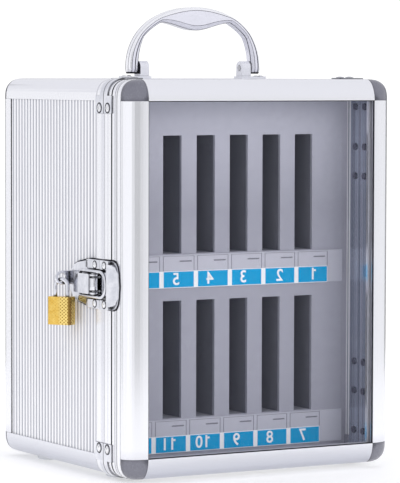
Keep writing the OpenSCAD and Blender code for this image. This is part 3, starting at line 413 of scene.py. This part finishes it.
# Colour, roughness, metal share, spread of the colour and grain of each plain surface
MATERIALS = {
    "panel_y": panel_material("ribbed_panel_side", "left_panel", 1),
    "panel_x": panel_material("ribbed_panel_top", "top_panel", 0),
    "panel_plain": tinted("plain_panel", (0.84, 0.85, 0.87), 0.4, 0.0, 0.04, 900, height=0.00002),
    "frame_x": brushed_material("frame_along_x", *ALUMINIUM, "X"),
    "frame_y": brushed_material("frame_along_y", *ALUMINIUM, "Y"),
    "frame_z": brushed_material("frame_along_z", *ALUMINIUM, "Z"),
    "rim": rim_material("rim_extrusion", *ALUMINIUM),
    "corner_cap": cap_material(),
    "plated_steel": chrome_material("plated_steel", 3, (0.66, 0.67, 0.72), (0.84, 0.845, 0.88)),
    "rivet_steel": chrome_material("rivet_steel", 1.2, (0.84, 0.845, 0.86), (0.95, 0.95, 0.96), True),
    # Near black for pieces that stand in for shadow
    "gap_dark": tinted("gap_dark", (0.02, 0.02, 0.026), 0.7, 0.0, 0.1, 1500, height=0.00002, shine=0.1),
    "grip_white": tinted("grip_white", (0.96, 0.96, 0.98), 0.12, 0.7, 0.02, 1500,
                         height=0.000004, coat=0.4),
    # Shaded copies of the grip's white, painted darker on the facet and underside
    "grip_lens": tinted("grip_lens", (0.86, 0.86, 0.93), 0.2, 0.4, 0.03, 1500, height=0.000006, coat=0.3),
    "grip_under": tinted("grip_under", (0.86, 0.86, 0.93), 0.2, 0.5, 0.03, 1500,
                         height=0.000006, coat=0.3),
    # Painted shade in the grip's creases
    "grip_crease": tinted("grip_crease", (0.10, 0.10, 0.12), 0.3, 0.4, 0.05, 1500, height=0.000006),
    "steel_pin": tinted("pin_steel", (0.56, 0.56, 0.58), 0.35, 1.0, 0.1, 1500),
    "foot": tinted("foot_plastic", (0.80, 0.82, 0.84), 0.3, 0.0, 0.05, 800),
    "handle": tinted("handle_silver", (0.74, 0.745, 0.80), 0.22, 0.55, 0.03, 1500,
                     height=0.000008, coat=0.4),
    "bracket": bracket_material(),
    "insert_board": board_material(),
    "insert_foam": tinted("insert_foam", (0.16, 0.162, 0.19), 0.95, 0.0, 0.12, 2600,
                          height=0.0002, shine=0.2),
    "label_card": tinted("label_card", (0.54, 0.54, 0.61), 0.6, 0.0, 0.03, 2200,
                         height=0.00002, shine=0.2),
    "number_tag": tinted("number_blue", (0.0, 0.36, 0.70), 0.6, 0.0, 0.06, 2000,
                         height=0.00002, shine=0.1),
    "number_white": tinted("number_white", (0.95, 0.96, 0.98), 0.6, 0.0, 0.02, 2000,
                           height=0.00002, shine=0.2),
    "rule_grey": tinted("rule_grey", (0.20, 0.20, 0.24), 0.6, 0.0, 0.06, 2000, height=0.00002),
    "edge_grey": tinted("edge_grey", (0.20, 0.20, 0.25), 0.5, 0.0, 0.06, 2000, height=0.00002),
    "window": window_material(),
    "seal": tinted("window_seal_rubber", (0.48, 0.485, 0.54), 0.6, 0.0, 0.1, 1500,
                   height=0.00002, shine=0.2),
    "seal_dark": tinted("door_seal_rubber", (0.012, 0.012, 0.016), 0.7, 0.0, 0.1, 1500,
                        height=0.00002, shine=0.08),
    "lock_brass": brass_material(),
    "lock_plug": tinted("lock_plug", (0.62, 0.44, 0.18), 0.35, 0.9, 0.12, 1800),
}

# Panels that differ from the ribbed side panels
PANELS = {"top_panel": "panel_x", "rear_panel": "panel_x", "bottom_panel": "panel_plain"}


# CAD nodes

def frame_direction(name):
    """The axis that a frame extrusion runs along."""
    if name in ("top_left_rail", "top_right_rail", "bottom_left_rail", "bottom_right_rail"):
        return "y"
    return "z" if name.endswith("_post") else "x"


def dress():
    """Gives each CAD node the material of its slot, or its own."""
    slots = {part["node"]: part["material_slot"] for part in frame["record"]["subparts"]}
    for name, thing in NODES.items():
        surface = slots[name]
        if "_rim_" in name:
            surface = "rim"
        elif "rivets" in name:
            surface = "rivet_steel"
        elif name == "door_seal":
            surface = "seal_dark"
        elif surface == "frame":
            surface = "frame_" + frame_direction(name)
        elif surface == "panel":
            surface = PANELS.get(name, "panel_y")
        if thing.material_slots:
            for slot in thing.material_slots:
                slot.material = MATERIALS[surface]
        else:
            thing.data.materials.append(MATERIALS[surface])


def rounding(name):
    """How far a node's edges are rounded, in millimetres, or nothing where they stay as they are."""
    if name in ("window_pane", "number_labels", "lower_label_strip", "upper_label_strip", "feet",
                "body_rivets", "door_rivets", "door_seal", "left_panel", "right_panel", "top_panel",
                "rear_panel") or "_rim_" in name:
        return None
    if name.startswith("insert") or "shelf" in name or "spacers" in name:
        return 0.5
    if name in ("latch_plate", "catch_plate", "latch_lever"):
        return 0.45
    return 0.7 if name == "padlock_body" else 0.3


def soften():
    """Rounds the sharp edges of the nodes."""
    for name, thing in NODES.items():
        width = rounding(name)
        if width is None:
            continue
        weld = thing.modifiers.new("join_corners", "WELD")
        weld.merge_threshold = 0.00001
        bevel = thing.modifiers.new("round_edges", "BEVEL")
        bevel.width = width * MM
        bevel.segments = 3
        bevel.limit_method = "ANGLE"
        bevel.angle_limit = math.radians(35)
        bevel.harden_normals = True
        bevel.use_clamp_overlap = True


def islands(name):
    """The separate solids of a node, each as a list of points."""
    b = bmesh.new()
    b.from_mesh(NODES[name].data)
    bmesh.ops.remove_doubles(b, verts=b.verts, dist=0.00001)
    left = set(b.verts)
    found = []
    while left:
        points = []
        todo = [left.pop()]
        while todo:
            v = todo.pop()
            points.append(v.co.copy())
            for e in v.link_edges:
                w = e.other_vert(v)
                if w in left:
                    left.discard(w)
                    todo.append(w)
        found.append(points)
    b.free()
    return found


# Mesh helpers

def piece(name, points, faces, surface, body, slot, smooth=False):
    """A mesh piece that rides on a body, with its surface's material; its slot is not used."""
    mesh = bpy.data.meshes.new(name)
    mesh.from_pydata([tuple(p) for p in points], [], faces)
    mesh.validate()
    b = bmesh.new()
    b.from_mesh(mesh)
    bmesh.ops.recalc_face_normals(b, faces=b.faces)
    b.to_mesh(mesh)
    b.free()
    if smooth:
        mesh.shade_smooth()
    mesh.materials.append(MATERIALS[surface])
    o = bpy.data.objects.new(name, mesh)
    bpy.context.collection.objects.link(o)
    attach(o, body)
    return o


def block(low, high):
    """Points and faces of a box between two corners."""
    points = [(x, y, z) for x in (low[0], high[0]) for y in (low[1], high[1]) for z in (low[2], high[2])]
    faces = [(0, 1, 3, 2), (4, 6, 7, 5), (0, 4, 5, 1), (2, 3, 7, 6), (0, 2, 6, 4), (1, 5, 7, 3)]
    return points, faces


def tube(rings, endless=False):
    """Points and faces of a skin over rings of points, whose last ring joins the first if it is endless."""
    count = len(rings[0])
    rows = len(rings)
    faces = []
    for i in range(rows if endless else rows - 1):
        this = i * count
        following = (i + 1) % rows * count
        for k in range(count):
            after = (k + 1) % count
            faces.append((this + k, this + after, following + after, following + k))
    return [p for ring in rings for p in ring], faces


def join(parts):
    """Points and faces of several meshes as one."""
    points = []
    faces = []
    for p, f in parts:
        start = len(points)
        points += p
        faces += [tuple(i + start for i in face) for face in f]
    return points, faces


# Labels

def tag_places():
    """Lowest and highest corner of each number tag, upper row first, from right to left."""
    between_rows = (CASE_TOP + CASE_BOTTOM) / 2 - 50 * MM
    tags = [(Vector(map(min, zip(*points))), Vector(map(max, zip(*points))))
            for points in islands("number_labels")]
    return sorted(tags, key=lambda tag: (tag[0].z < between_rows, -tag[0].x))


def digits(number, low, high, aside):
    """A raised number on a tag, printed mirrored as the photograph shows it and moved aside a little."""
    name = f"digits_{number}"
    text = bpy.data.curves.new(name, "FONT")
    text.body = str(number)
    text.size = 1.1 * (high.z - low.z)
    text.align_x = "CENTER"
    text.align_y = "CENTER"
    text.offset = 0.18 * MM
    text.extrude = 0.04 * MM
    source = bpy.data.objects.new(name, text)
    bpy.context.collection.objects.link(source)
    bpy.context.view_layer.update()
    mesh = bpy.data.meshes.new_from_object(source.evaluated_get(bpy.context.evaluated_depsgraph_get()))
    bpy.data.objects.remove(source)
    middle = (low + high) / 2
    face_y = low.y - 0.03 * MM
    flag_reach = 1.9 * MM
    flag_root = 0.3 * MM
    points = [(middle.x - aside - v.co.x, face_y - v.co.z, middle.z + v.co.y) for v in mesh.vertices]
    faces = [tuple(p.vertices) for p in mesh.polygons]
    bpy.data.meshes.remove(mesh)
    if str(number)[0] == "1":
        # Flag at the top of the leading 1
        lead = max(p[0] for p in points)
        top = max(p[2] for p in points)
        flag = block((lead - flag_root, min(p[1] for p in points), top - 2.6 * MM),
                     (lead + flag_reach, face_y, top - 1.2 * MM))
        points, faces = join(((points, faces), flag))
    piece(f"number_{number}", points, faces, "number_white", "case", "number_tag")


def labels():
    """Numbers on the tags, paper round the tags, thin card edges and a plain rule where a name goes."""
    tags = tag_places()
    for i, (low, high) in enumerate(tags):
        digits(i + 1, low, high, NUMBER_ASIDE[i] * MM)
    base_y = STRIP_Y + 0.05 * MM
    rule_y = STRIP_Y - 0.06 * MM
    edge_y = STRIP_Y - 0.12 * MM
    strip_rise = 11.4 * MM
    rule_length = 10 * MM
    edge_width = 0.45 * MM
    edge_aside = 0.5 * MM
    rules = []
    edges = []
    for low, high in tags:
        strip_top = high.z + strip_rise
        right = high.x - 1.5 * MM
        rules.append(block((right - rule_length, rule_y, strip_top - 4.4 * MM),
                           (right, base_y, strip_top - 3.4 * MM)))
        for x in (low.x - edge_aside, high.x + 0.2 * MM):
            edges.append(block((x, edge_y, high.z), (x + edge_width, base_y, strip_top)))
        edges.append(block((low.x - edge_aside, edge_y, strip_top - 0.3 * MM),
                           (high.x + edge_aside, base_y, strip_top)))
    margin = 0.45 * MM
    paper_y = (STRIP_Y + TAG_Y) / 2
    half = len(tags) // 2
    backs = [block((row[-1][0].x - 1.2 * MM, paper_y, row[0][0].z - margin),
                   (row[0][1].x + 0.4 * MM, base_y, row[0][1].z + margin))
             for row in (tags[:half], tags[half:])]
    piece("tag_backs", *join(backs), "number_white", "case", "label_card")
    piece("name_rules", *join(rules), "rule_grey", "case", "label_card")
    piece("card_edges", *join(edges), "edge_grey", "case", "label_card")


def handle():
    """The handle: a loft along its arch, with a lens-shaped facet on each face of the grip, painted shade on the
    facets, in the creases and at the leg ends.
    """
    low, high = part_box("handle")
    pivot = next(j for j in frame["joints"] if j["name"] == "handle_fold")["pos_m"]
    half = (high.x - low.x) / 2
    middle_x = (high.x + low.x) / 2
    rise = high.z - pivot[2]
    neck_t = 4.6 * MM
    grip_t = 17 * MM
    leg_d = 4.2 * MM
    grip_d = 6.5 * MM
    leg_crease = 0.65 * MM
    # Where the grip and the neck end, from 0 in the middle of the arch to 1 at its ends
    grip_end = 0.56
    shoulder = 0.84
    steps = 96
    foot_steps = 6

    def outer(t):
        """A point on the arch's outer line."""
        return Vector((half * math.cos(t), rise * math.sin(t) ** 0.93))

    def thickness(u):
        """Thickness in the arch's plane."""
        if u > shoulder:
            return neck_t + (LEG_T - neck_t) * (u - shoulder) / (1 - shoulder)
        if u > grip_end:
            return neck_t
        return neck_t + (grip_t - neck_t) * math.cos(math.pi / 2 * u / grip_end)

    def depth(u):
        """Half the depth across the arch's plane."""
        ease = min(1, max(0, (1 - u) / 0.5))
        return leg_d + (grip_d - leg_d) * ease * ease * (3 - 2 * ease)

    def section(origin, inward, thick, d, lens, crease):
        """Ring of points round one section, with a flat of width lens and creases on each face."""
        top = (thick - lens) * 0.42
        bottom = top + lens
        under = bottom + 0.7 * (thick - bottom)
        flat = 0.55 * d
        front = [(0, -flat + crease), (0, -flat), (0.3 * top, -0.90 * d), (top - crease, -d),
                 (top, -d + crease / 2), (bottom, -d + crease / 2), (bottom + crease, -d), (under, -0.82 * d),
                 (thick - crease, -0.64 * d), (thick, -0.6 * d)]
        across = front + [(a, -b) for a, b in reversed(front)]
        return [(middle_x + origin.x + inward.x * a, pivot[1] + b, pivot[2] + origin.y + inward.y * a)
                for a, b in across]

    def foot(side, drop, narrow):
        """Ring of points round a leg's rounded end."""
        ring = section(Vector((side * half, 0)), Vector((-side, 0)), LEG_T, leg_d, 0.25 * LEG_T, leg_crease)
        return [(x, pivot[1] + (y - pivot[1]) * narrow, pivot[2] - drop) for x, y, z in ring]

    rings = []
    for i in range(steps + 1):
        t = min(max(math.pi * i / steps, 1e-4), math.pi - 1e-4)
        inward = -Vector((math.cos(t) * rise, math.sin(t) * half)).normalized()
        u = abs(math.cos(t))
        thick = thickness(u)
        lens = 0.25 * thick + 0.39 * thick * max(0, math.cos(math.pi / 2 * min(1, u / grip_end)))
        crease = 0.35 * MM + max(0, u - 0.7) * MM
        rings.append(section(outer(t), inward, thick, depth(u), lens, crease))
    for k in range(1, foot_steps + 1):
        turn = math.pi / 2 * k / foot_steps
        drop = leg_d * math.sin(turn)
        narrow = max(0.02, math.cos(turn))
        rings.append(foot(-1, drop, narrow))
        rings.insert(0, foot(1, drop, narrow))
    count = len(rings[0])
    last = len(rings) - 1
    points, faces = tube(rings)
    faces.append(tuple(range(count)))
    faces.append(tuple(last * count + k for k in reversed(range(count))))
    o = piece("handle_arch", points, faces, "grip_white", "handle", "handle", smooth=True)
    for surface in ("grip_lens", "grip_under", "grip_crease", "gap_dark"):
        o.data.materials.append(MATERIALS[surface])
    # Facets in shaded copies of the white, creases in painted shade
    white, lens, under, crease, dark = range(5)
    front = (crease, white, white, crease, lens, crease, under, under, crease)
    strips = front + (under,) + front[::-1] + (white,)
    # Painted shadow at the ends of the legs
    dark_rows = 3
    for i, face in enumerate(o.data.polygons):
        row = i // count
        at_end = row < dark_rows or row >= last - dark_rows
        face.material_index = dark if at_end else strips[i % count]
    bevel = o.modifiers.new("round_edges", "BEVEL")
    bevel.width = 0.25 * MM
    bevel.segments = 2
    bevel.limit_method = "ANGLE"
    bevel.angle_limit = math.radians(20)
    bevel.harden_normals = True
    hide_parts("handle")


# Painted shadow strips and rings

def glazing():
    """Dark strips of painted shadow round the window opening, just behind the door's front face."""
    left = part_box("door_left_post")[1].x
    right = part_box("door_right_post")[0].x
    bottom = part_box("door_bottom_rail")[1].z
    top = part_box("door_top_rail")[0].z
    near = FRONT_Y + 0.6 * MM
    far = near + 1.0 * MM
    wide = 0.55 * MM
    sides = [block((left, near, bottom), (left + wide, far, top)),
             block((right - wide, near, bottom), (right, far, top)),
             block((left, near, bottom), (right, far, bottom + wide)),
             block((left, near, top - wide), (right, far, top))]
    piece("window_gasket", *join(sides), "gap_dark", "door", "seal")


def shadow_gaps():
    """Dark strips of painted shadow where the side panels enter the rear posts, and board edges between insert and
    walls.
    """
    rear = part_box("rear_left_post")[0].y
    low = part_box("bottom_left_rail")[1].z
    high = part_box("top_left_rail")[0].z
    insert_low, insert_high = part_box("insert_face")
    proud = 0.12 * MM
    sunk = 0.2 * MM
    gap_width = 0.75 * MM
    overlap = 0.1 * MM
    gaps = []
    trim = []
    for side, name in ((-1, "left_panel"), (1, "right_panel")):
        inner, outer = sorted(abs(corner.x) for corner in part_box(name))
        gaps.append(block((side * (outer + proud), rear - gap_width, low),
                          (side * (outer - sunk), rear + overlap, high)))
        trim.append(block((side * (insert_high.x - 0.6 * MM), INSERT_Y + 0.3 * MM, insert_low.z),
                          (side * (inner - overlap), INSERT_Y + 1.3 * MM, insert_high.z)))
    piece("panel_gaps", *join(gaps), "gap_dark", "case", "seal")
    piece("insert_trim", *join(trim), "insert_board", "case", "insert_board")


def rivet_rings(name, body):
    """A thin ring of painted shadow round the base of each rivet head on the two sides of the case."""
    steps = 24
    base_width = 0.55 * MM
    top_width = 0.45 * MM
    overlap = 0.05 * MM
    height = 0.12 * MM
    angles = [2 * math.pi * k / steps for k in range(steps)]
    parts = []
    for points in islands(name):
        y, z = [(min(p[i] for p in points) + max(p[i] for p in points)) / 2 for i in (1, 2)]
        side = 1 if sum(p.x for p in points) > 0 else -1
        outside = [p for p in points if p.x * side > -CASE_LEFT - 0.1 * MM]
        if not outside:
            continue
        reach = [math.hypot(p.y - y, p.z - z) for p in outside]
        r = max(reach)
        base = min(p.x * side for p, far in zip(outside, reach) if far > 0.97 * r)
        top = base + height
        inner = r - overlap
        corners = ((base, inner), (base, r + base_width), (top, r + top_width), (top, inner))
        rings = [[(x * side, y + radius * math.cos(a), z + radius * math.sin(a)) for a in angles]
                 for x, radius in corners]
        parts.append(tube(rings, endless=True))
    if parts:
        piece(name + "_rings", *join(parts), "gap_dark", body, "seal")


def backing(name, body, least_y, most_y):
    """A thin dark rim of painted shadow that shows round a plate on the left side."""
    margin = 0.8 * MM
    proud = 0.25 * MM
    sunk = 0.05 * MM
    flat = [(v.co.y, v.co.z) for v in NODES[name].data.vertices if v.co.x > CASE_LEFT - 2 * MM]
    hull = [flat[i] for i in convex_hull_2d(flat)]
    middle = Vector((sum(p[0] for p in hull) / len(hull), sum(p[1] for p in hull) / len(hull)))
    edge = []
    for p in hull:
        out = Vector(p) - middle
        q = Vector(p) + margin * out.normalized()
        edge.append((min(max(q.x, least_y), most_y), q.y))
    n = len(edge)
    points = [(x, y, z) for x in (CASE_LEFT - proud, CASE_LEFT + sunk) for y, z in edge]
    faces = [tuple(range(n)), tuple(reversed(range(n, 2 * n)))]
    faces += [(k, n + k, n + (k + 1) % n, (k + 1) % n) for k in range(n)]
    piece(name + "_gasket", points, faces, "gap_dark", body, "seal")


# Studio

def light(name, where, towards, size, power):
    """A soft rectangular light that faces a point and isn't mirrored."""
    lamp = bpy.data.lights.new(name, "AREA")
    lamp.shape = "RECTANGLE"
    lamp.size, lamp.size_y = size
    lamp.energy = power
    o = bpy.data.objects.new(name, lamp)
    o.location = where
    o.visible_glossy = False
    o.rotation_euler = (Vector(towards) - Vector(where)).to_track_quat("-Z", "Y").to_euler()
    bpy.context.collection.objects.link(o)


def studio():
    """Pale round floor, soft lights and a pale world."""
    m, s = material("studio_floor", (0.80, 0.80, 0.80), 0.9)
    s.inputs["Emission Color"].default_value = (1, 1, 1, 1)
    s.inputs["Emission Strength"].default_value = 0.38
    steps = 96
    angles = [2 * math.pi * k / steps for k in range(steps)]
    mesh = bpy.data.meshes.new("floor")
    mesh.from_pydata([(FLOOR_RADIUS * math.cos(a), FLOOR_RADIUS * math.sin(a), 0) for a in angles], [],
                     [tuple(range(steps))])
    mesh.materials.append(m)
    floor = bpy.data.objects.new("floor", mesh)
    bpy.context.collection.objects.link(floor)
    studio_world()
    middle = (0, 0, 0.15)
    light("key", (-2.4, -0.6, 1.4), middle, (1.2, 1.0), 5)
    light("front", (-0.1, -2.6, 0.55), middle, (1.2, 0.8), 17)


def studio_world():
    """Light tent: bright, with some dull bands that polished parts mirror, and plain white to the camera."""
    world = bpy.data.worlds.new("studio")
    bpy.context.scene.world = world
    world.use_nodes = True
    where = node(world, "ShaderNodeTexCoord")
    split = node(world, "ShaderNodeSeparateXYZ")
    link(world, where.outputs["Generated"], split.inputs["Vector"])
    angle = calculate(world, "ARCTAN2", split.outputs["Y"], split.outputs["X"])
    around = node(world, "ShaderNodeValToRGB")
    set_marks(around.color_ramp.elements, LIGHT_TENT, lambda v: (0.96 * v, 0.965 * v, v))
    link(world, step(world, angle, -math.pi, math.pi), around.inputs["Fac"])
    lift = node(world, "ShaderNodeMapRange", interpolation_type="SMOOTHSTEP")
    lift.inputs["From Min"].default_value = 0.1
    lift.inputs["From Max"].default_value = 0.36
    link(world, split.outputs["Z"], lift.inputs["Value"])
    sky = world.node_tree.nodes["Background"]
    tent = blend(world, lift.outputs["Result"], around.outputs["Color"], (0.92, 0.925, 0.98))
    link(world, tent, sky.inputs["Color"])
    sky.inputs["Strength"].default_value = 0.9
    plain = node(world, "ShaderNodeBackground", Color=(1, 1, 1, 1), Strength=1.1)
    seen = node(world, "ShaderNodeLightPath")
    either = node(world, "ShaderNodeMixShader")
    link(world, seen.outputs["Is Camera Ray"], either.inputs[0])
    link(world, sky.outputs[0], either.inputs[1])
    link(world, plain.outputs[0], either.inputs[2])
    link(world, either.outputs[0], world.node_tree.nodes["World Output"].inputs["Surface"])


def camera():
    """Camera at the photograph's place, from the fit of the case's corners."""
    right = Vector((0.86469, -0.50230, 0.00238))
    up = Vector((0.02746, 0.05201, 0.99827))
    back = -Vector((0.50156, 0.86313, -0.05877))
    above_case_bottom = Vector((-1.0764, -1.86202, 0.28641))
    lens = bpy.data.cameras.new("camera")
    lens.lens = 217.12
    lens.sensor_width = 36
    o = bpy.data.objects.new("camera", lens)
    place = Matrix.Identity(4)
    for row in range(3):
        place[row][0] = right[row]
        place[row][1] = up[row]
        place[row][2] = back[row]
    place.translation = above_case_bottom + Vector((0, 0, CASE_BOTTOM))
    o.matrix_world = place
    bpy.context.collection.objects.link(o)
    bpy.context.scene.camera = o


dress()
soften()
labels()
handle()
glazing()
shadow_gaps()
rivet_rings("body_rivets", "case")
rivet_rings("door_rivets", "door")
SEAM_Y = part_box("door_rim_left")[1].y
backing("latch_plate", "case", SEAM_Y + 0.4 * MM, 1)
backing("catch_plate", "door", -1, SEAM_Y - 0.1 * MM)
studio()
camera()
bpy.context.scene.view_settings.view_transform = "Standard"
